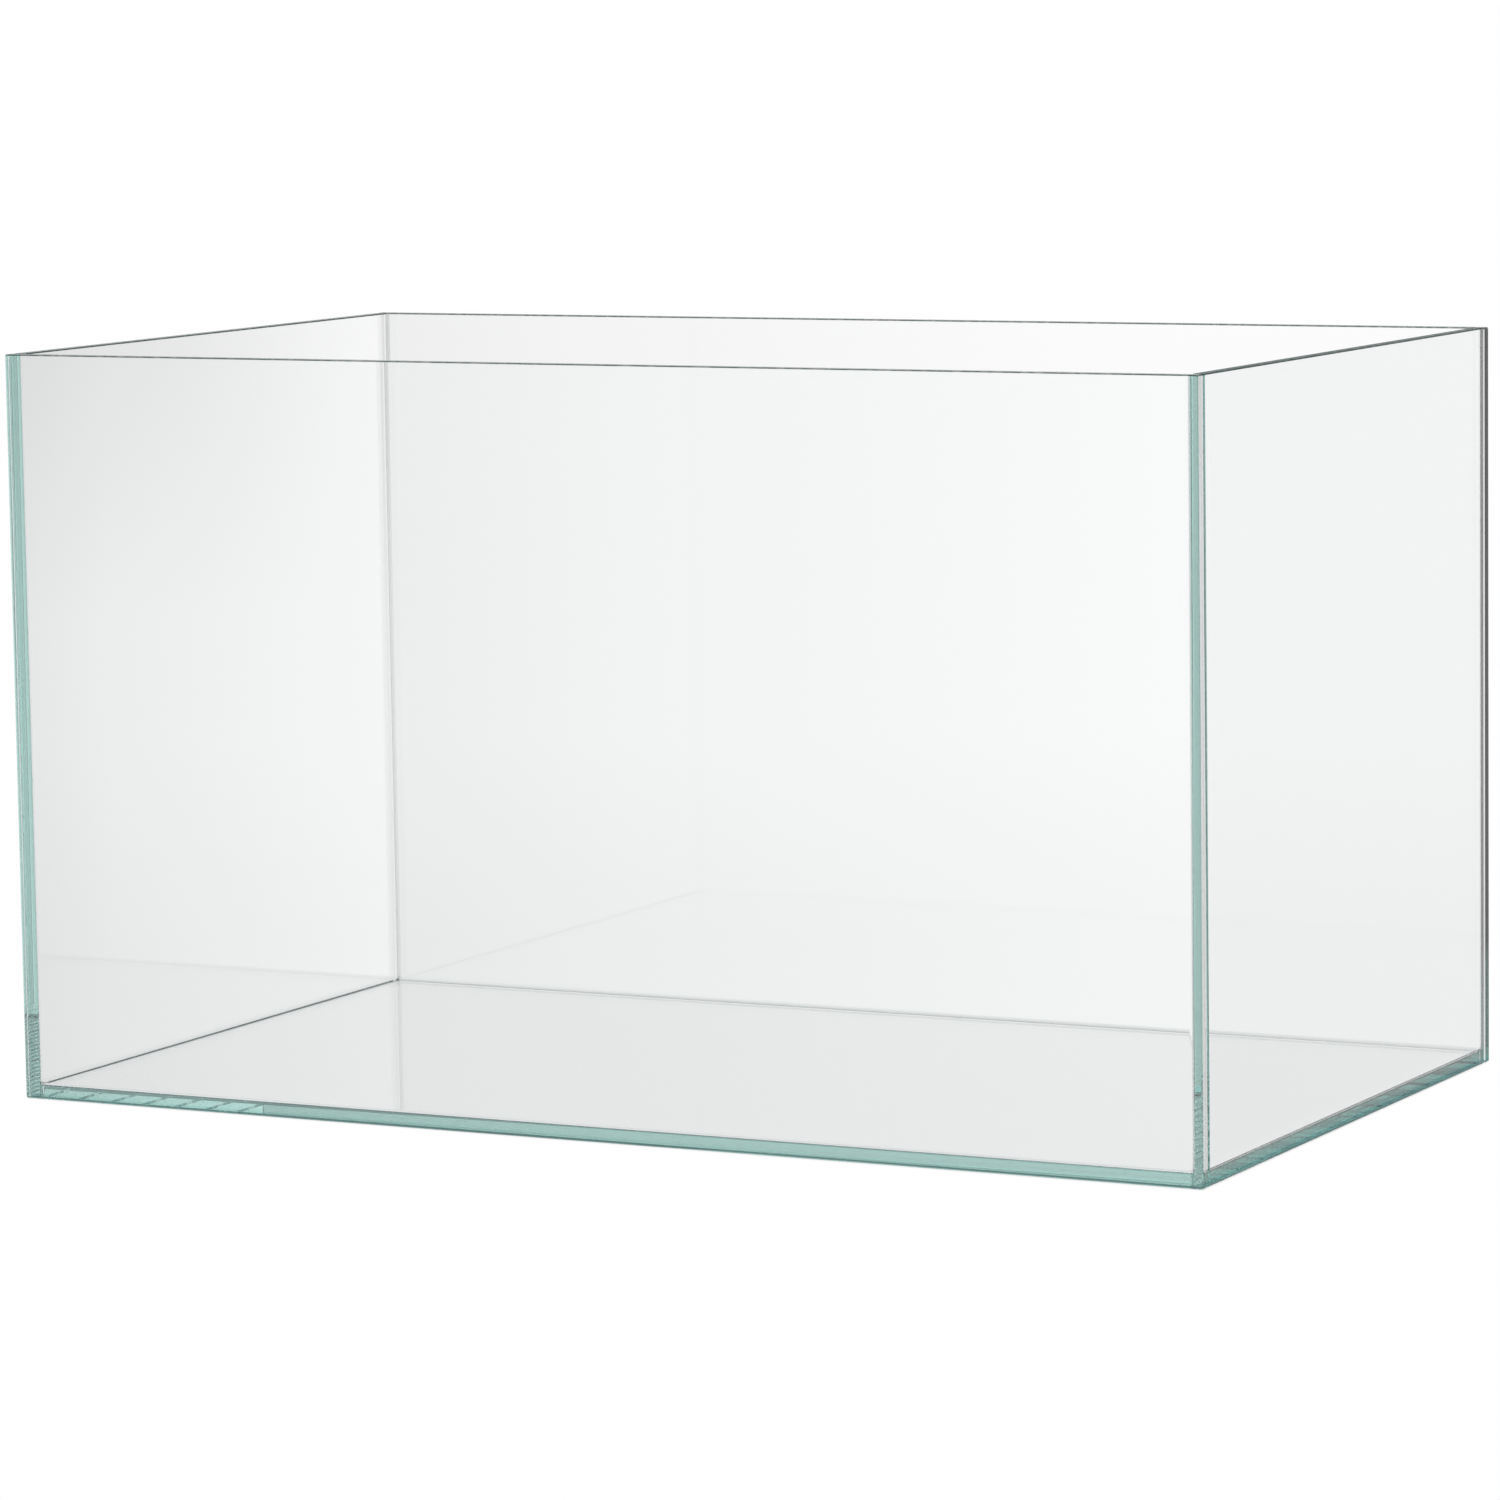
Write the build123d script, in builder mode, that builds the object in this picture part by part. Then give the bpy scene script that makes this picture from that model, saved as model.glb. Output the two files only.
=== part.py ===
from build123d import *
import os

# Rimless glass aquarium tank.
# Five float glass panes with polished edges, bonded edge to face with clear
# silicone. Millimetres, +Z up. The origin is at the middle of the underside,
# on the surface that the tank stands on. +X runs along the long front wall,
# +Y points to the back wall.

# ------------------------------------------------------- driving dimensions
length = 600.0        # outside, along X
depth = 350.0         # outside, along Y
height = 350.0        # outside, along Z
glass = 6.0           # thickness of every pane
bond_gap = 1.0        # silicone line between two panes
arris = 0.6           # polished chamfer round every pane
dub = 0.8             # polished-off corner tips of the panes
bead = 1.2            # leg of the sealing bead along each inner corner
bead_hollow = 0.18    # how far the tooled face of a bead is dished

# --------------------------------------------------------- derived positions
half_l = length / 2
half_d = depth / 2
wall_x = half_l - glass            # inner face of the side panes
wall_y = half_d - glass            # inner face of the front and back panes
side_len = 2 * (wall_y - bond_gap)         # side panes stand between the long ones
base_x = wall_x - bond_gap         # edge of the base pane
base_y = wall_y - bond_gap
bond_low = arris                   # silicone is scraped back from the underside
bond_top = height - arris          # and from the rim

os.makedirs("parts", exist_ok=True)

# ------------------------------------------------------------- base pane
# Lies flat between the four walls, its underside level with theirs.
with BuildPart() as base_pane:
    with BuildSketch(Plane.XY):
        Rectangle(2 * base_x, 2 * base_y)
    extrude(amount=glass)
    flat_faces = base_pane.faces().filter_by(Axis.Z)
    chamfer(flat_faces.edges(), length=arris)

# ------------------------------------------------------------- front pane
# Runs the whole length and covers the ends of the side panes.
with BuildPart() as front_pane:
    with BuildSketch(Plane.XZ.offset(wall_y)) as front_outline:
        with Locations((0, height / 2)):
            Rectangle(length, height)
        chamfer(front_outline.vertices(), length=dub)
    extrude(amount=glass)
    chamfer(front_pane.faces().filter_by(Axis.Y).edges(), length=arris)

# ------------------------------------------------------------- back pane
with BuildPart() as back_pane:
    with BuildSketch(Plane.XZ.offset(-half_d)) as back_outline:
        with Locations((0, height / 2)):
            Rectangle(length, height)
        chamfer(back_outline.vertices(), length=dub)
    extrude(amount=glass)
    chamfer(back_pane.faces().filter_by(Axis.Y).edges(), length=arris)

# ------------------------------------------------------------- side panes
# Stand between the front and back panes with a silicone line at each end.
with BuildPart() as left_pane:
    with BuildSketch(Plane.YZ.offset(-half_l)) as left_outline:
        with Locations((0, height / 2)):
            Rectangle(side_len, height)
        chamfer(left_outline.vertices(), length=dub)
    extrude(amount=glass)
    chamfer(left_pane.faces().filter_by(Axis.X).edges(), length=arris)

with BuildPart() as right_pane:
    with BuildSketch(Plane.YZ.offset(wall_x)) as right_outline:
        with Locations((0, height / 2)):
            Rectangle(side_len, height)
        chamfer(right_outline.vertices(), length=dub)
    extrude(amount=glass)
    chamfer(right_pane.faces().filter_by(Axis.X).edges(), length=arris)

# ------------------------------------------------- vertical corner bonds
# Section in plan, for a corner at (sx * wall_x, sy * wall_y): the silicone
# fills the gap between the end of the side pane and the face of the long pane,
# and the small hollow that the side pane's inner arris leaves. It stops at the
# start of the outer arrises, so each corner has a fine V groove outside.
def corner_bond_section(sx, sy):
    return [
        (sx * (half_l - arris), sy * wall_y),
        (sx * wall_x, sy * wall_y),
        (sx * wall_x, sy * (wall_y - bond_gap - arris)),
        (sx * (wall_x + arris), sy * (wall_y - bond_gap)),
        (sx * (half_l - arris), sy * (wall_y - bond_gap)),
    ]


with BuildPart() as bond_front_left:
    with BuildSketch(Plane.XY.offset(bond_low)):
        with BuildLine():
            Polyline(*corner_bond_section(-1, -1), close=True)
        make_face()
    extrude(amount=bond_top - bond_low)

with BuildPart() as bond_front_right:
    with BuildSketch(Plane.XY.offset(bond_low)):
        with BuildLine():
            Polyline(*corner_bond_section(1, -1), close=True)
        make_face()
    extrude(amount=bond_top - bond_low)

with BuildPart() as bond_back_left:
    with BuildSketch(Plane.XY.offset(bond_low)):
        with BuildLine():
            Polyline(*corner_bond_section(-1, 1), close=True)
        make_face()
    extrude(amount=bond_top - bond_low)

with BuildPart() as bond_back_right:
    with BuildSketch(Plane.XY.offset(bond_low)):
        with BuildLine():
            Polyline(*corner_bond_section(1, 1), close=True)
        make_face()
    extrude(amount=bond_top - bond_low)

# ----------------------------------------------------------- base bonds
# Section across a wall: v is the distance in from the wall's inner face and z
# the height. It fills the gap beside the base pane and the hollow over the
# base pane's upper arris. Neighbouring bonds meet in mitres at the corners.
def base_bond_section():
    return [
        (0, bond_low),
        (bond_gap, bond_low),
        (bond_gap, glass - arris),
        (bond_gap + arris, glass),
        (0, glass),
    ]


# Mitre planes through the four inner corners. Each plane's normal points to
# the side where the front or back piece lies.
mitre_front_left = Plane(origin=(-wall_x, -wall_y, 0), z_dir=(1, -1, 0))
mitre_front_right = Plane(origin=(wall_x, -wall_y, 0), z_dir=(-1, -1, 0))
mitre_back_left = Plane(origin=(-wall_x, wall_y, 0), z_dir=(1, 1, 0))
mitre_back_right = Plane(origin=(wall_x, wall_y, 0), z_dir=(-1, 1, 0))

# Section planes: local x points into the tank, local y points up.
section_front = Plane(origin=(-wall_x, -wall_y, 0), x_dir=(0, 1, 0), z_dir=(1, 0, 0))
section_back = Plane(origin=(wall_x, wall_y, 0), x_dir=(0, -1, 0), z_dir=(-1, 0, 0))
section_left = Plane(origin=(-wall_x, wall_y, 0), x_dir=(1, 0, 0), z_dir=(0, -1, 0))
section_right = Plane(origin=(wall_x, -wall_y, 0), x_dir=(-1, 0, 0), z_dir=(0, 1, 0))

with BuildPart() as bond_base_front:
    with BuildSketch(section_front):
        with BuildLine():
            Polyline(*base_bond_section(), close=True)
        make_face()
    extrude(amount=2 * wall_x)
    split(bisect_by=mitre_front_left, keep=Keep.TOP)
    split(bisect_by=mitre_front_right, keep=Keep.TOP)

with BuildPart() as bond_base_back:
    with BuildSketch(section_back):
        with BuildLine():
            Polyline(*base_bond_section(), close=True)
        make_face()
    extrude(amount=2 * wall_x)
    split(bisect_by=mitre_back_left, keep=Keep.TOP)
    split(bisect_by=mitre_back_right, keep=Keep.TOP)

with BuildPart() as bond_base_left:
    with BuildSketch(section_left):
        with BuildLine():
            Polyline(*base_bond_section(), close=True)
        make_face()
    extrude(amount=2 * wall_y)
    split(bisect_by=mitre_front_left, keep=Keep.BOTTOM)
    split(bisect_by=mitre_back_left, keep=Keep.BOTTOM)

with BuildPart() as bond_base_right:
    with BuildSketch(section_right):
        with BuildLine():
            Polyline(*base_bond_section(), close=True)
        make_face()
    extrude(amount=2 * wall_y)
    split(bisect_by=mitre_front_right, keep=Keep.BOTTOM)
    split(bisect_by=mitre_back_right, keep=Keep.BOTTOM)

# --------------------------------------------------- inner sealing beads
# A tooled bead is a small triangle with a slightly dished face. The middle of
# the dished face, measured on both legs from the inner corner:
bead_mid = bead / 2 - bead_hollow / 2 ** 0.5


with BuildPart() as bead_base_front:
    with BuildSketch(section_front):
        with BuildLine():
            Line((0, glass), (bead, glass))
            ThreePointArc((bead, glass), (bead_mid, glass + bead_mid), (0, glass + bead))
            Line((0, glass + bead), (0, glass))
        make_face()
    extrude(amount=2 * wall_x)
    split(bisect_by=mitre_front_left, keep=Keep.TOP)
    split(bisect_by=mitre_front_right, keep=Keep.TOP)

with BuildPart() as bead_base_back:
    with BuildSketch(section_back):
        with BuildLine():
            Line((0, glass), (bead, glass))
            ThreePointArc((bead, glass), (bead_mid, glass + bead_mid), (0, glass + bead))
            Line((0, glass + bead), (0, glass))
        make_face()
    extrude(amount=2 * wall_x)
    split(bisect_by=mitre_back_left, keep=Keep.TOP)
    split(bisect_by=mitre_back_right, keep=Keep.TOP)

with BuildPart() as bead_base_left:
    with BuildSketch(section_left):
        with BuildLine():
            Line((0, glass), (bead, glass))
            ThreePointArc((bead, glass), (bead_mid, glass + bead_mid), (0, glass + bead))
            Line((0, glass + bead), (0, glass))
        make_face()
    extrude(amount=2 * wall_y)
    split(bisect_by=mitre_front_left, keep=Keep.BOTTOM)
    split(bisect_by=mitre_back_left, keep=Keep.BOTTOM)

with BuildPart() as bead_base_right:
    with BuildSketch(section_right):
        with BuildLine():
            Line((0, glass), (bead, glass))
            ThreePointArc((bead, glass), (bead_mid, glass + bead_mid), (0, glass + bead))
            Line((0, glass + bead), (0, glass))
        make_face()
    extrude(amount=2 * wall_y)
    split(bisect_by=mitre_front_right, keep=Keep.BOTTOM)
    split(bisect_by=mitre_back_right, keep=Keep.BOTTOM)

# Vertical beads: local x and y point into the tank from each inner corner. The
# foot of each is cut to sit on the two base beads that it meets.
with BuildPart() as bead_front_left:
    with BuildSketch(Plane.XY.offset(glass)):
        with BuildLine():
            Line((-wall_x, -wall_y), (-wall_x + bead, -wall_y))
            ThreePointArc(
                (-wall_x + bead, -wall_y),
                (-wall_x + bead_mid, -wall_y + bead_mid),
                (-wall_x, -wall_y + bead),
            )
            Line((-wall_x, -wall_y + bead), (-wall_x, -wall_y))
        make_face()
    extrude(amount=bond_top - glass)
    add(bead_base_front.part, mode=Mode.SUBTRACT)
    add(bead_base_left.part, mode=Mode.SUBTRACT)

with BuildPart() as bead_front_right:
    with BuildSketch(Plane.XY.offset(glass)):
        with BuildLine():
            Line((wall_x, -wall_y), (wall_x - bead, -wall_y))
            ThreePointArc(
                (wall_x - bead, -wall_y),
                (wall_x - bead_mid, -wall_y + bead_mid),
                (wall_x, -wall_y + bead),
            )
            Line((wall_x, -wall_y + bead), (wall_x, -wall_y))
        make_face()
    extrude(amount=bond_top - glass)
    add(bead_base_front.part, mode=Mode.SUBTRACT)
    add(bead_base_right.part, mode=Mode.SUBTRACT)

with BuildPart() as bead_back_left:
    with BuildSketch(Plane.XY.offset(glass)):
        with BuildLine():
            Line((-wall_x, wall_y), (-wall_x + bead, wall_y))
            ThreePointArc(
                (-wall_x + bead, wall_y),
                (-wall_x + bead_mid, wall_y - bead_mid),
                (-wall_x, wall_y - bead),
            )
            Line((-wall_x, wall_y - bead), (-wall_x, wall_y))
        make_face()
    extrude(amount=bond_top - glass)
    add(bead_base_back.part, mode=Mode.SUBTRACT)
    add(bead_base_left.part, mode=Mode.SUBTRACT)

with BuildPart() as bead_back_right:
    with BuildSketch(Plane.XY.offset(glass)):
        with BuildLine():
            Line((wall_x, wall_y), (wall_x - bead, wall_y))
            ThreePointArc(
                (wall_x - bead, wall_y),
                (wall_x - bead_mid, wall_y - bead_mid),
                (wall_x, wall_y - bead),
            )
            Line((wall_x, wall_y - bead), (wall_x, wall_y))
        make_face()
    extrude(amount=bond_top - glass)
    add(bead_base_back.part, mode=Mode.SUBTRACT)
    add(bead_base_right.part, mode=Mode.SUBTRACT)

# --------------------------------------------------------------- export
base_pane.part.label = "base_pane"
export_step(base_pane.part, "parts/base_pane.step")
front_pane.part.label = "front_pane"
export_step(front_pane.part, "parts/front_pane.step")
back_pane.part.label = "back_pane"
export_step(back_pane.part, "parts/back_pane.step")
left_pane.part.label = "left_pane"
export_step(left_pane.part, "parts/left_pane.step")
right_pane.part.label = "right_pane"
export_step(right_pane.part, "parts/right_pane.step")

bond_front_left.part.label = "bond_front_left"
export_step(bond_front_left.part, "parts/bond_front_left.step")
bond_front_right.part.label = "bond_front_right"
export_step(bond_front_right.part, "parts/bond_front_right.step")
bond_back_left.part.label = "bond_back_left"
export_step(bond_back_left.part, "parts/bond_back_left.step")
bond_back_right.part.label = "bond_back_right"
export_step(bond_back_right.part, "parts/bond_back_right.step")
bond_base_front.part.label = "bond_base_front"
export_step(bond_base_front.part, "parts/bond_base_front.step")
bond_base_back.part.label = "bond_base_back"
export_step(bond_base_back.part, "parts/bond_base_back.step")
bond_base_left.part.label = "bond_base_left"
export_step(bond_base_left.part, "parts/bond_base_left.step")
bond_base_right.part.label = "bond_base_right"
export_step(bond_base_right.part, "parts/bond_base_right.step")

bead_front_left.part.label = "bead_front_left"
export_step(bead_front_left.part, "parts/bead_front_left.step")
bead_front_right.part.label = "bead_front_right"
export_step(bead_front_right.part, "parts/bead_front_right.step")
bead_back_left.part.label = "bead_back_left"
export_step(bead_back_left.part, "parts/bead_back_left.step")
bead_back_right.part.label = "bead_back_right"
export_step(bead_back_right.part, "parts/bead_back_right.step")
bead_base_front.part.label = "bead_base_front"
export_step(bead_base_front.part, "parts/bead_base_front.step")
bead_base_back.part.label = "bead_base_back"
export_step(bead_base_back.part, "parts/bead_base_back.step")
bead_base_left.part.label = "bead_base_left"
export_step(bead_base_left.part, "parts/bead_base_left.step")
bead_base_right.part.label = "bead_base_right"
export_step(bead_base_right.part, "parts/bead_base_right.step")
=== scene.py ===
import math

import bmesh
import bpy
from mathutils import Matrix, Vector


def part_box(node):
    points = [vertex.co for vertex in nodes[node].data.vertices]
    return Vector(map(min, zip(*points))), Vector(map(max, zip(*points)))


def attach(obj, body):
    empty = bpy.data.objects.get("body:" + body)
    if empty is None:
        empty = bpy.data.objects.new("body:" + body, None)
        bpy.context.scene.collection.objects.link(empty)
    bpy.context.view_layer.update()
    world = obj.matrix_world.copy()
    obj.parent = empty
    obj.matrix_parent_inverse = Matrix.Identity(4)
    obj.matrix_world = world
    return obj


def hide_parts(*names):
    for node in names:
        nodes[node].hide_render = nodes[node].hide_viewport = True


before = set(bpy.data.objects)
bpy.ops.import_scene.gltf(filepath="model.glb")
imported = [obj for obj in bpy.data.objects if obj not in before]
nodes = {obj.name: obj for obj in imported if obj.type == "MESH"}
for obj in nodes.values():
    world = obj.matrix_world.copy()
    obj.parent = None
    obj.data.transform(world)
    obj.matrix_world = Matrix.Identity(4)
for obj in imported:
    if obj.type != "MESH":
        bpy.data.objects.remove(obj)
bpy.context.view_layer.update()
scene = bpy.context.scene

# ------------------------------------------------------------------ camera
right = Vector((0.89203559, 0.451718, -0.01494525))
down = Vector((0.0419093, -0.11559519, -0.99241189))
ahead = Vector((-0.45001791, 0.88464038, -0.1220462))
cam_data = bpy.data.cameras.new("camera")
cam_data.sensor_width = 36.0
cam_data.lens = 155.7
cam_data.clip_start = 0.05
cam_data.clip_end = 400.0
cam = bpy.data.objects.new("camera", cam_data)
scene.collection.objects.link(cam)
rot = Matrix((right, -down, -ahead)).transposed().to_4x4()
cam.matrix_world = Matrix.Translation(Vector((1.371203, -2.703242, 0.530026))) @ rot
scene.camera = cam

# --------------------------------------------------- sizes, all from the CAD
MM = 0.001
lo_r, hi_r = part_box("right_pane")
lo_f, hi_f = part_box("front_pane")
lo_b, hi_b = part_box("base_pane")
lo_v, hi_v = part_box("bond_front_right")
lo_bead, hi_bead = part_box("bead_front_right")
HX, HY, HZ = hi_r.x, -lo_f.y, hi_r.z  # outside of the walls
WX = lo_r.x  # inner face of the side panes
WY = -hi_f.y  # inner face of the long panes
TOP = hi_v.z
LOW = lo_v.z
GL = hi_b.z  # top of the base pane, and the glass thickness
GAP = WX - hi_b.x
ARRIS = HX - hi_v.x
LEG = WX - lo_bead.x
HOLLOW = 0.22 * LEG
EPS = 0.03 * MM  # silicone wets the glass: it reaches this far into it
CAMBER = 0.04 * MM  # a polished edge is very slightly crowned
DUB = 0.9 * MM  # polished-off corner tips

# --------------------------------------------------------------- materials
GLASS_IOR = 1.52
GLASS_ABSORB = ((0.0, 0.56, 0.47), 2.5)
GROUND_SHADE_TINT = (0.03, 0.05, 0.045)  # the fine-ground arris, grey-green; its near-black depth is painted shade that darkens the rim lines
SILICONE_IOR = 1.41
SILICONE_ABSORB = ((0.3, 0.4, 0.4), 2.0)


def clear(mat):
    mat.use_nodes = True
    nt = mat.node_tree
    nt.nodes.clear()
    return nt


def noise(nt, scale, detail):
    n = nt.nodes.new("ShaderNodeTexNoise")
    n.inputs["Scale"].default_value = scale
    n.inputs["Detail"].default_value = detail
    tc = nt.nodes.new("ShaderNodeTexCoord")
    nt.links.new(tc.outputs["Object"], n.inputs["Vector"])
    return n.outputs[0]


def glass_material(name, ior, absorb, ground=0.0, tooled=0.0):
    """Clear material with depth tint; where the mesh says 'wetted' it touches
    another piece without air between, so the bare surface's gloss is left out.
    ground is the roughness of the ground arrises, which is a little uneven
    along them, and it also turns on a near-black tint there, painted shade that
    darkens the rim lines; tooled is the depth of the ripple left by tooling, on bare faces."""
    mat = bpy.data.materials.new(name)
    nt = clear(mat)
    out = nt.nodes.new("ShaderNodeOutputMaterial")
    p = nt.nodes.new("ShaderNodeBsdfPrincipled")
    p.inputs["Base Color"].default_value = (1, 1, 1, 1)
    p.inputs["Roughness"].default_value = 0.0
    p.inputs["IOR"].default_value = ior
    p.inputs["Transmission Weight"].default_value = 1.0
    nt.links.new(p.outputs["BSDF"], out.inputs["Surface"])
    at = nt.nodes.new("ShaderNodeAttribute")
    at.attribute_name = "wetted"
    m = nt.nodes.new("ShaderNodeMath")
    m.operation = "MULTIPLY_ADD"
    nt.links.new(at.outputs["Fac"], m.inputs[0])
    m.inputs[1].default_value = -0.5
    m.inputs[2].default_value = 0.5
    nt.links.new(m.outputs[0], p.inputs["Specular IOR Level"])
    if ground:
        at = nt.nodes.new("ShaderNodeAttribute")
        at.attribute_name = "ground"
        m = nt.nodes.new("ShaderNodeMath")
        m.operation = "MULTIPLY"
        nt.links.new(at.outputs["Fac"], m.inputs[0])
        m.inputs[1].default_value = ground
        nt.links.new(m.outputs[0], p.inputs["Roughness"])
        # painted shade: where marked ground, the colour is mixed towards a near-black tint, unevenly along the arris
        mix = nt.nodes.new("ShaderNodeMix")
        mix.data_type = "RGBA"
        uneven = nt.nodes.new("ShaderNodeMath")
        uneven.operation = "MULTIPLY_ADD"
        nt.links.new(noise(nt, 260.0, 3.0), uneven.inputs[0])
        uneven.inputs[1].default_value = 0.7
        uneven.inputs[2].default_value = 0.62
        f = nt.nodes.new("ShaderNodeMath")
        f.operation = "MULTIPLY"
        f.use_clamp = True
        nt.links.new(at.outputs["Fac"], f.inputs[0])
        nt.links.new(uneven.outputs[0], f.inputs[1])
        nt.links.new(f.outputs[0], mix.inputs["Factor"])
        mix.inputs[6].default_value = (1, 1, 1, 1)
        mix.inputs[7].default_value = (*GROUND_SHADE_TINT, 1)
        nt.links.new(mix.outputs[2], p.inputs["Base Color"])
    if tooled:
        bare = nt.nodes.new("ShaderNodeMath")
        bare.operation = "MULTIPLY_ADD"
        nt.links.new(at.outputs["Fac"], bare.inputs[0])
        bare.inputs[1].default_value = -0.5
        bare.inputs[2].default_value = 0.5
        bump = nt.nodes.new("ShaderNodeBump")
        bump.inputs["Distance"].default_value = tooled
        nt.links.new(bare.outputs[0], bump.inputs["Strength"])
        nt.links.new(noise(nt, 140.0, 2.0), bump.inputs["Height"])
        nt.links.new(bump.outputs[0], p.inputs["Normal"])
    v = nt.nodes.new("ShaderNodeVolumeAbsorption")
    v.inputs["Color"].default_value = (*absorb[0], 1)
    v.inputs["Density"].default_value = absorb[1]
    nt.links.new(v.outputs["Volume"], out.inputs["Volume"])
    return mat


GLASS = glass_material("float_glass", GLASS_IOR, GLASS_ABSORB, ground=0.45)
SILICONE = glass_material("clear_silicone", SILICONE_IOR, SILICONE_ABSORB, tooled=0.05 * MM)


# -------------------------------------------------------------- mesh tools
def new_object(name, bm, mats):
    bmesh.ops.recalc_face_normals(bm, faces=bm.faces)
    me = bpy.data.meshes.new(name)
    bm.to_mesh(me)
    bm.free()
    for m in mats:
        me.materials.append(m)
    ob = bpy.data.objects.new(name, me)
    scene.collection.objects.link(ob)
    return ob


def offset_polygon(pts, offs):
    """Moves edge i (from point i to i+1) outward by offs[i]; points run counter-clockwise."""
    n = len(pts)
    lines = []
    for i in range(n):
        (x0, y0), (x1, y1) = pts[i], pts[(i + 1) % n]
        dx, dy = x1 - x0, y1 - y0
        ln = math.hypot(dx, dy)
        nx, ny = dy / ln, -dx / ln
        lines.append((x0 + nx * offs[i], y0 + ny * offs[i], dx, dy))
    out = []
    for i in range(n):
        ax, ay, adx, ady = lines[i - 1]
        bx, by, bdx, bdy = lines[i]
        den = adx * bdy - ady * bdx
        if abs(den) < 1e-15:
            out.append((bx, by))
            continue
        t = ((bx - ax) * bdy - (by - ay) * bdx) / den
        out.append((ax + adx * t, ay + ady * t))
    return out


# ------------------------------------------------------------------- panes
def pane_mesh(half_a, half_b, thick, camber_a, camber_b, place, cuts):
    """A plate with arrises, crowned cut edges and rounded corner tips.

    a and b run along the plate, w through it; place(a, b, w) gives the point.
    camber_a crowns the edges at a = +-half_a, camber_b those at b = +-half_b."""
    bm = bmesh.new()
    h = thick / 2
    flat = h - ARRIS
    levels = [(-h, ARRIS, ARRIS)]
    steps = 8
    for i in range(steps + 1):
        w = -flat + 2 * flat * i / steps
        q = (w / flat) ** 2
        levels.append((w, camber_a * q, camber_b * q))
    levels.append((h, ARRIS, ARRIS))
    k = 4
    rings = []
    for w, da, db in levels:
        ring = []
        for ca, cb, start in ((1, 1, 0), (-1, 1, 1), (-1, -1, 2), (1, -1, 3)):
            for j in range(k + 1):
                phi = (start + j / k) * math.pi / 2
                a = ca * (half_a - DUB) + (DUB - da) * math.cos(phi)
                b = cb * (half_b - DUB) + (DUB - db) * math.sin(phi)
                ring.append(bm.verts.new(place(a, b, w)))
        rings.append(ring)
    n = len(rings[0])
    for r0, r1 in zip(rings, rings[1:]):
        for i in range(n):
            bm.faces.new((r0[i], r0[(i + 1) % n], r1[(i + 1) % n], r1[i]))
    bm.faces.new(rings[0])
    bm.faces.new(rings[-1])
    bmesh.ops.recalc_face_normals(bm, faces=bm.faces)
    for co, no in cuts:
        bmesh.ops.bisect_plane(
            bm, geom=list(bm.verts) + list(bm.edges) + list(bm.faces), plane_co=co, plane_no=no, dist=1e-7
        )
    return bm


# how matt the polish has left each pane's top edge; the same value sets how strongly the painted shade tint darkens
# that rim
RIM_MATT_AND_SHADE = {"front_pane": 0.35, "back_pane": 0.6, "left_pane": 0.5, "right_pane": 0.95}


def finish_pane(name, bm, wetted, is_face):
    """Marks the silicone-wetted faces and the ground arrises, which are matt and darkened with painted shade."""
    wet = bm.faces.layers.float.new("wetted")
    ground = bm.faces.layers.float.new("ground")
    for f in bm.faces:
        f[wet] = 1.0 if wetted(f.calc_center_median(), f.normal) else 0.0
        c = f.calc_center_median()
        n = sorted(abs(k) for k in f.normal)
        f[ground] = 0.0
        if c.z > HZ - 2 * ARRIS and not f[wet]:
            f[ground] = 1.0 if n[2] < 0.9 else RIM_MATT_AND_SHADE[name]
    ob = new_object("glass_" + name, bm, [GLASS])
    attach(ob, "root")
    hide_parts(name)
    return ob


TOL = 0.05 * MM
for name, s in (("front_pane", -1), ("back_pane", 1)):
    mid = s * (HY + WY) / 2
    bm = pane_mesh(
        HX, HZ / 2, HY - WY, CAMBER, CAMBER,
        lambda a, b, w, mid=mid: (a, mid + w, HZ / 2 + b),
        [((WX - LEG, 0, 0), (1, 0, 0)), ((LEG - WX, 0, 0), (1, 0, 0)), ((0, 0, GL + LEG), (0, 0, 1))],
    )
    finish_pane(
        name, bm,
        lambda c, n, s=s: n.y * -s > 0.99 and (abs(c.x) > WX - LEG or c.z < GL + LEG),
        lambda n: abs(n.y) > 0.99,
    )

SIDE_HALF = WY - GAP
for name, s in (("left_pane", -1), ("right_pane", 1)):
    mid = s * (HX + WX) / 2
    bm = pane_mesh(
        SIDE_HALF, HZ / 2, HX - WX, 0.0, CAMBER,
        lambda a, b, w, mid=mid: (mid + w, a, HZ / 2 + b),
        [((0, WY - LEG, 0), (0, 1, 0)), ((0, LEG - WY, 0), (0, 1, 0)), ((0, 0, GL + LEG), (0, 0, 1))],
    )
    finish_pane(
        name, bm,
        lambda c, n, s=s: (n.x * -s > 0.99 and (abs(c.y) > WY - LEG or c.z < GL + LEG))
        or abs(n.y) > 0.9
        or (abs(n.y) > 0.5 and n.x * -s > 0.5),
        lambda n: abs(n.x) > 0.99,
    )

bm = pane_mesh(
    hi_b.x, hi_b.y, GL, 0.0, 0.0,
    lambda a, b, w: (a, b, GL / 2 + w),
    [((WX - LEG, 0, 0), (1, 0, 0)), ((LEG - WX, 0, 0), (1, 0, 0)), ((0, WY - LEG, 0), (0, 1, 0)), ((0, LEG - WY, 0), (0, 1, 0))],
)
finish_pane(
    "base_pane", bm,
    lambda c, n: abs(n.z) < 0.5 or (n.z > 0.5 and (abs(c.x) > WX - LEG or abs(c.y) > WY - LEG)),
    lambda n: abs(n.z) > 0.99,
)

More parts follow.
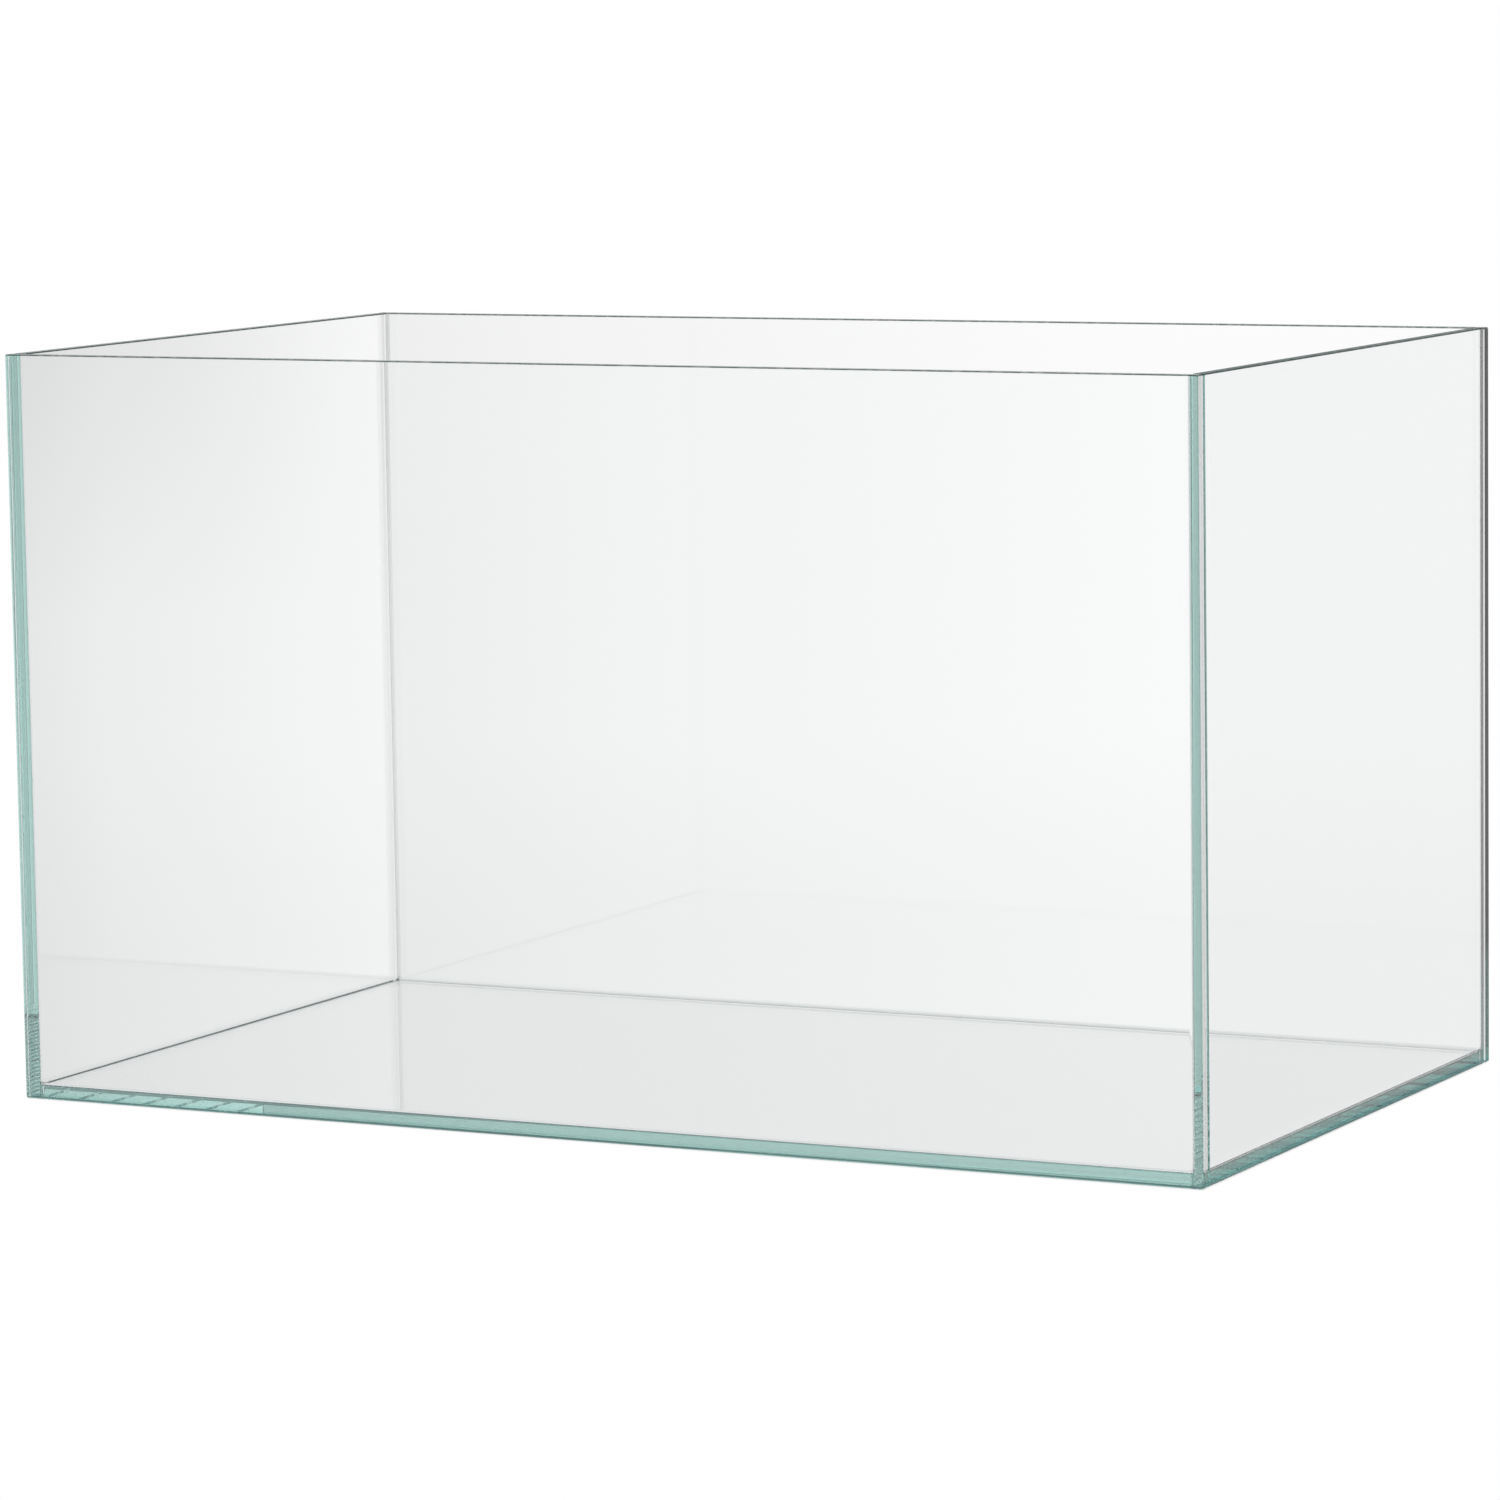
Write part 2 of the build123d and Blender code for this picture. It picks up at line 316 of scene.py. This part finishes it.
# ---------------------------------------------------------------- silicone
def arc_points(n=16):
    """The dished face of a bead, from (LEG, 0) to (0, LEG)."""
    m = LEG / 2 - HOLLOW / math.sqrt(2)
    c = (LEG * LEG - 2 * m * m) / (2 * LEG - 4 * m)
    r = math.hypot(c - LEG, c)
    a0 = math.atan2(-c, LEG - c) % (2 * math.pi)
    a1 = math.atan2(LEG - c, -c) % (2 * math.pi)
    return [(c + r * math.cos(a0 + (a1 - a0) * i / n), c + r * math.sin(a0 + (a1 - a0) * i / n)) for i in range(n + 1)]


def prism(rings):
    """A closed solid from a list of equal rings of 3-D points."""
    bm = bmesh.new()
    vs = [[bm.verts.new(p) for p in ring] for ring in rings]
    n = len(vs[0])
    for a, b in zip(vs, vs[1:]):
        for i in range(n):
            bm.faces.new((a[i], a[(i + 1) % n], b[(i + 1) % n], b[i]))
    bm.faces.new(vs[0])
    bm.faces.new(vs[-1])
    bmesh.ops.recalc_face_normals(bm, faces=bm.faces)
    return bm


def finish_silicone(name, bm, free):
    wet = bm.faces.layers.float.new("wetted")
    for f in bm.faces:
        bare = free(f.calc_center_median(), f.normal)
        f[wet] = 0.0 if bare else 1.0
    ob = new_object("silicone_" + name, bm, [SILICONE])
    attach(ob, "root")
    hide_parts(name)
    return ob


# vertical bonds: u runs inward from the side pane's inner face, v inward from
# the long pane's inner face
u_out = -(hi_v.x - WX)
sec = [(u_out, 0), (0, 0), (0, GAP + ARRIS), (-ARRIS, GAP), (u_out, GAP)]
bond_sec = offset_polygon(sec, [EPS, EPS, EPS, EPS, 0])
for sy, wy in (("front", -1), ("back", 1)):
    for sx, wx in (("left", -1), ("right", 1)):
        rings = []
        for z in (LOW, TOP):
            rings.append([(wx * (WX - u), wy * (WY - v), z) for u, v in bond_sec])
        finish_silicone(
            f"bond_{sy}_{sx}", prism(rings),
            lambda c, n: abs(n.z) > 0.9 or (abs(n.x) > 0.9 and abs(c.x) > (HX + WX) / 2),
        )

# base bonds and beads: v inward from the wall, z up
sec = [(0, LOW), (GAP, LOW), (GAP, GL - ARRIS), (GAP + ARRIS, GL), (0, GL)]
bb_sec = offset_polygon(sec, [0, EPS, EPS, 0, EPS])
arc = arc_points()
bead_sec = offset_polygon([(0, 0)] + arc, [EPS] + [0] * (len(arc) - 1) + [EPS])


def run_point(side, v, z, end):
    """A point on a mitred run along one wall. end is -1 or 1."""
    if side in ("front", "back"):
        s = -1 if side == "front" else 1
        return (end * (WX - v + EPS), s * (WY - v), z)
    s = -1 if side == "left" else 1
    return (s * (WX - v), end * (WY - v + EPS), z)


for side in ("front", "back", "left", "right"):
    rings = [[run_point(side, v, z, e) for v, z in bb_sec] for e in (-1, 1)]
    finish_silicone("bond_base_" + side, prism(rings), lambda c, n: n.z < -0.9)
    rings = [[run_point(side, v, GL + z, e) for v, z in bead_sec] for e in (-1, 1)]
    axis = 0 if side in ("front", "back") else 1
    finish_silicone("bead_base_" + side, prism(rings), lambda c, n, axis=axis: n.z > 0.3 and abs(n[axis]) < 0.3)


def bead_height(t):
    """Height of a base bead over the base pane at a distance t from the wall."""
    if t <= 0:
        return LEG
    for (x0, y0), (x1, y1) in zip(arc, arc[1:]):
        if x1 <= t <= x0:
            return y0 + (y1 - y0) * (t - x0) / (x1 - x0)
    return 0.0


# vertical beads, cut at the foot to sit on the base beads
for sy, wy in (("front", -1), ("back", 1)):
    for sx, wx in (("left", -1), ("right", 1)):
        bm = bmesh.new()

        def put(u, v, z):
            return bm.verts.new((wx * (WX - u), wy * (WY - v), z))

        n = len(arc) - 1
        half = n // 2
        ring_top = [put(u, v, TOP) for u, v in bead_sec]
        ring_low = [put(u, v, GL + LEG + 1.0 * MM) for u, v in bead_sec]
        m = len(bead_sec)
        for i in range(m):
            bm.faces.new((ring_low[i], ring_low[(i + 1) % m], ring_top[(i + 1) % m], ring_top[i]))
        bm.faces.new(ring_top)
        foot = []
        for u, v in bead_sec:
            foot.append(put(u, v, GL + max(bead_height(u), bead_height(v)) - EPS))
        for i in range(m):
            bm.faces.new((foot[i], foot[(i + 1) % m], ring_low[(i + 1) % m], ring_low[i]))
        # cut surface: strips between the bead's face and the diagonal crease
        diag = [foot[0]]
        for i in range(1, half):
            v = arc[i][1]
            diag.append(put(v, v, GL + bead_height(v) - EPS))
        diag.append(foot[1 + half])
        for i in range(half):
            c, d = diag[i + 1], diag[i]
            a, b = foot[1 + i], foot[2 + i]
            bm.faces.new([a, b, c, d] if b is not c else [a, b, d])
            a, b = foot[1 + n - i], foot[n - i]
            bm.faces.new([a, b, c, d] if b is not c else [a, b, d])
        bmesh.ops.recalc_face_normals(bm, faces=bm.faces)
        finish_silicone(
            f"bead_{sy}_{sx}", bm,
            lambda c, n, wx=wx, wy=wy: n.z > 0.9 or (n.x * -wx > 0.2 and n.y * -wy > 0.2 and abs(n.z) < 0.2),
        )


# ------------------------------------------------------------------- stage
def math_node(nt, op, a, b=None, c=None, clamp=False):
    n = nt.nodes.new("ShaderNodeMath")
    n.operation = op
    n.use_clamp = clamp
    for i, v in enumerate((a, b, c)):
        if v is None:
            continue
        if isinstance(v, (int, float)):
            n.inputs[i].default_value = v
        else:
            nt.links.new(v, n.inputs[i])
    return n.outputs[0]


def ramp(nt, value, stops, mode="EASE"):
    """Value through a curve given as (position, grey) stops."""
    n = nt.nodes.new("ShaderNodeValToRGB")
    n.color_ramp.interpolation = mode
    els = n.color_ramp.elements
    while len(els) > 1:
        els.remove(els[-1])
    els[0].position = stops[0][0]
    els[0].color = (stops[0][1],) * 3 + (1,)
    for pos, grey in stops[1:]:
        e = els.new(pos)
        e.color = (grey,) * 3 + (1,)
    nt.links.new(value, n.inputs[0])
    return n.outputs[0]


def mix_value(nt, fac, a, b):
    n = nt.nodes.new("ShaderNodeMix")
    n.data_type = "FLOAT"
    for sock, v in ((n.inputs[0], fac), (n.inputs[2], a), (n.inputs[3], b)):
        if isinstance(v, (int, float)):
            sock.default_value = v
        else:
            nt.links.new(v, sock)
    return n.outputs[0]


def mix_colour(nt, fac, a, b):
    n = nt.nodes.new("ShaderNodeMix")
    n.data_type = "RGBA"
    nt.links.new(fac, n.inputs["Factor"])
    for sock, v in ((n.inputs[6], a), (n.inputs[7], b)):
        if isinstance(v, tuple):
            sock.default_value = (*v, 1)
        else:
            nt.links.new(v, sock)
    return n.outputs[2]


FLOOR_UNDER = 0.85  # light that reaches the floor under the base pane
FLOOR_EDGE = 0.85  # and under the walls
ROOM_TINT = (1.0, 0.991, 0.994)  # the studio's light, very slightly warm
CEILING_TINT = (0.80, 0.95, 0.98)  # cooler overhead
FOOT_PAPER_SHADOW = (0.82, 0.82, 0.82)  # painted contact shadow: the paper within 20 mm of the foot, as the glass shows it
FOOT_TEAL_SHADE = (0.50, 0.76, 0.80)  # painted teal shade on the paper at the foot, on the camera sides: light that leaves the glass there
bm = bmesh.new()
bmesh.ops.create_grid(bm, x_segments=4, y_segments=4, size=150.0)
floor = new_object("studio_floor", bm, [])
floor.location = (0, 0, -0.0003)
fm = bpy.data.materials.new("studio_floor")
nt = clear(fm)
out = nt.nodes.new("ShaderNodeOutputMaterial")
em = nt.nodes.new("ShaderNodeEmission")
em.inputs["Color"].default_value = (1, 1, 1, 1)
geo = nt.nodes.new("ShaderNodeNewGeometry")
sep = nt.nodes.new("ShaderNodeSeparateXYZ")
nt.links.new(geo.outputs["Position"], sep.inputs[0])
ax = math_node(nt, "SUBTRACT", math_node(nt, "ABSOLUTE", sep.outputs[0]), HX)
ay = math_node(nt, "SUBTRACT", math_node(nt, "ABSOLUTE", sep.outputs[1]), HY)
inside = math_node(nt, "MAXIMUM", ax, ay)  # metres to the tank's outline, negative under it
# from 20 mm inside to 20 mm outside the outline -> 0 .. 1
pos = math_node(nt, "MULTIPLY_ADD", inside, 1 / 0.04, 0.5, clamp=True)
light = ramp(
    nt, pos,
    [(0.0, FLOOR_UNDER), (0.30, FLOOR_UNDER), (0.36, FLOOR_EDGE), (0.495, FLOOR_EDGE), (0.502, 1.0)],
)
nt.links.new(light, em.inputs["Strength"])
# beyond the outline the floor is seen straight on as white paper; what the
# glass shows of it is taken from the studio's map of directions
lp = nt.nodes.new("ShaderNodeLightPath")
beyond = math_node(nt, "GREATER_THAN", inside, 0.02)
by_glass = math_node(nt, "SUBTRACT", 1.0, lp.outputs["Is Camera Ray"])
tr = nt.nodes.new("ShaderNodeBsdfTransparent")
# painted teal shade on the paper right at the foot, to the right and in front, as the glass shows it
near_side = math_node(nt, "MAXIMUM", math_node(nt, "SUBTRACT", sep.outputs[0], HX), math_node(nt, "MULTIPLY_ADD", sep.outputs[1], -1.0, -HY))
at_foot = ramp(nt, math_node(nt, "MULTIPLY", near_side, 50.0, clamp=True), [(0.0, 0.0), (0.01, 1.0), (0.30, 1.0), (0.40, 0.0)], "LINEAR")
# painted contact shadow: just outside the outline the paper is greyer for rays that came through the glass
outside = math_node(nt, "MULTIPLY", math_node(nt, "GREATER_THAN", inside, 0.0), by_glass)
paper_with_foot_shadow = mix_colour(nt, outside, (1.0, 1.0, 1.0), FOOT_PAPER_SHADOW)
nt.links.new(mix_colour(nt, math_node(nt, "MULTIPLY", at_foot, by_glass), paper_with_foot_shadow, FOOT_TEAL_SHADE), em.inputs["Color"])
mx = nt.nodes.new("ShaderNodeMixShader")
nt.links.new(math_node(nt, "MULTIPLY", beyond, by_glass), mx.inputs[0])
nt.links.new(em.outputs[0], mx.inputs[1])
nt.links.new(tr.outputs[0], mx.inputs[2])
nt.links.new(mx.outputs[0], out.inputs["Surface"])
floor.data.materials.append(fm)

world = bpy.data.worlds.new("studio")
scene.world = world
world.use_nodes = True
nt = world.node_tree
nt.nodes.clear()
out = nt.nodes.new("ShaderNodeOutputWorld")
bg = nt.nodes.new("ShaderNodeBackground")
bg.inputs["Color"].default_value = (1, 1, 1, 1)
tc = nt.nodes.new("ShaderNodeTexCoord")
sep = nt.nodes.new("ShaderNodeSeparateXYZ")
nt.links.new(tc.outputs["Generated"], sep.inputs[0])
dx, dy, dz = sep.outputs
lp = nt.nodes.new("ShaderNodeLightPath")
# The studio as the glass shows it: white paper all round, lit more strongly
# behind and to the right, a pale sweep above the horizon, a darker ceiling.
az = math_node(nt, "DIVIDE", math_node(nt, "ABSOLUTE", dx), math_node(nt, "MAXIMUM", math_node(nt, "ABSOLUTE", dy), 1e-4))
az = math_node(nt, "MULTIPLY", az, 0.8, clamp=True)  # 0 along Y .. 1 at 51 degrees and beyond
A = 0.8
overhead = ramp(nt, dz, [(0.0, 0.0), (0.22, 0.0), (0.32, 1.0), (1.0, 1.0)])
front_left = ramp(nt, az, [(0.0, 0.85), (0.7 * A, 0.8), (1.0, 0.75)], "LINEAR")
front_left = math_node(nt, "MULTIPLY", front_left, math_node(nt, "MULTIPLY_ADD", overhead, -0.35, 1.0))
back_right = ramp(
    nt, az,
    [(0.0, 0.9), (0.372 * A, 0.75), (0.43 * A, 0.7), (0.50 * A, 1.1), (0.58 * A, 1.4), (0.60 * A, 1.3), (0.66 * A, 0.9), (1.0, 0.8)],
    "LINEAR",
)
back_left = ramp(
    nt, az,
    [(0.0, 1.0), (0.43 * A, 1.0), (0.534 * A, 0.93), (0.58 * A, 0.88), (0.64 * A, 0.85), (0.66 * A, 0.80), (1.0, 0.80)],
    "LINEAR",
)
low = ramp(nt, math_node(nt, "MULTIPLY", dz, -2.5, clamp=True), [(0.0, 1.0), (0.30, 1.0), (0.375, 0.95), (1.0, 0.93)], "LINEAR")
far = ramp(nt, math_node(nt, "MULTIPLY", dz, -5.0, clamp=True), [(0.0, 1.0), (0.29, 1.0), (0.5, 0.0)], "LINEAR")
dim = ramp(nt, az, [(0.0, 0.0), (0.58 * A, 0.0), (0.62 * A, 0.10), (0.66 * A, 0.13), (1.0, 0.13)], "LINEAR")
back_left = math_node(nt, "MULTIPLY", back_left, math_node(nt, "MULTIPLY", low, math_node(nt, "SUBTRACT", 1.0, math_node(nt, "MULTIPLY", far, dim))))
above = ramp(nt, az, [(0.0, 0.98), (0.43 * A, 0.97), (0.50 * A, 0.92), (0.58 * A, 0.85), (0.66 * A, 0.74), (1.0, 0.74)], "LINEAR")
back_left = mix_value(nt, math_node(nt, "GREATER_THAN", dz, 0.0), back_left, above)
across = mix_value(nt, math_node(nt, "MULTIPLY_ADD", dy, 5.0, 0.5, clamp=True), front_left, back_right)
same = math_node(nt, "MULTIPLY_ADD", math_node(nt, "MULTIPLY", dx, dy), 3.0, 0.5, clamp=True)
room = mix_value(nt, same, back_left, across)
height = ramp(nt, dz, [(0.0, 1.0), (0.06, 0.97), (0.15, 0.92), (0.22, 0.87), (0.28, 0.72), (0.45, 0.54), (1.0, 0.45)])
room = math_node(nt, "MULTIPLY", room, height)
seen = mix_value(nt, lp.outputs["Is Camera Ray"], room, 1.0)
nt.links.new(seen, bg.inputs["Strength"])

hue = mix_colour(nt, overhead, ROOM_TINT, CEILING_TINT)
nt.links.new(mix_colour(nt, lp.outputs["Is Camera Ray"], hue, (1.0, 1.0, 1.0)), bg.inputs["Color"])
nt.links.new(bg.outputs[0], out.inputs["Surface"])

scene.view_settings.view_transform = "Standard"
scene.view_settings.look = "None"
scene.cycles.max_bounces = 64
scene.cycles.transmission_bounces = 64
scene.cycles.glossy_bounces = 64
scene.cycles.diffuse_bounces = 3
scene.cycles.transparent_max_bounces = 16

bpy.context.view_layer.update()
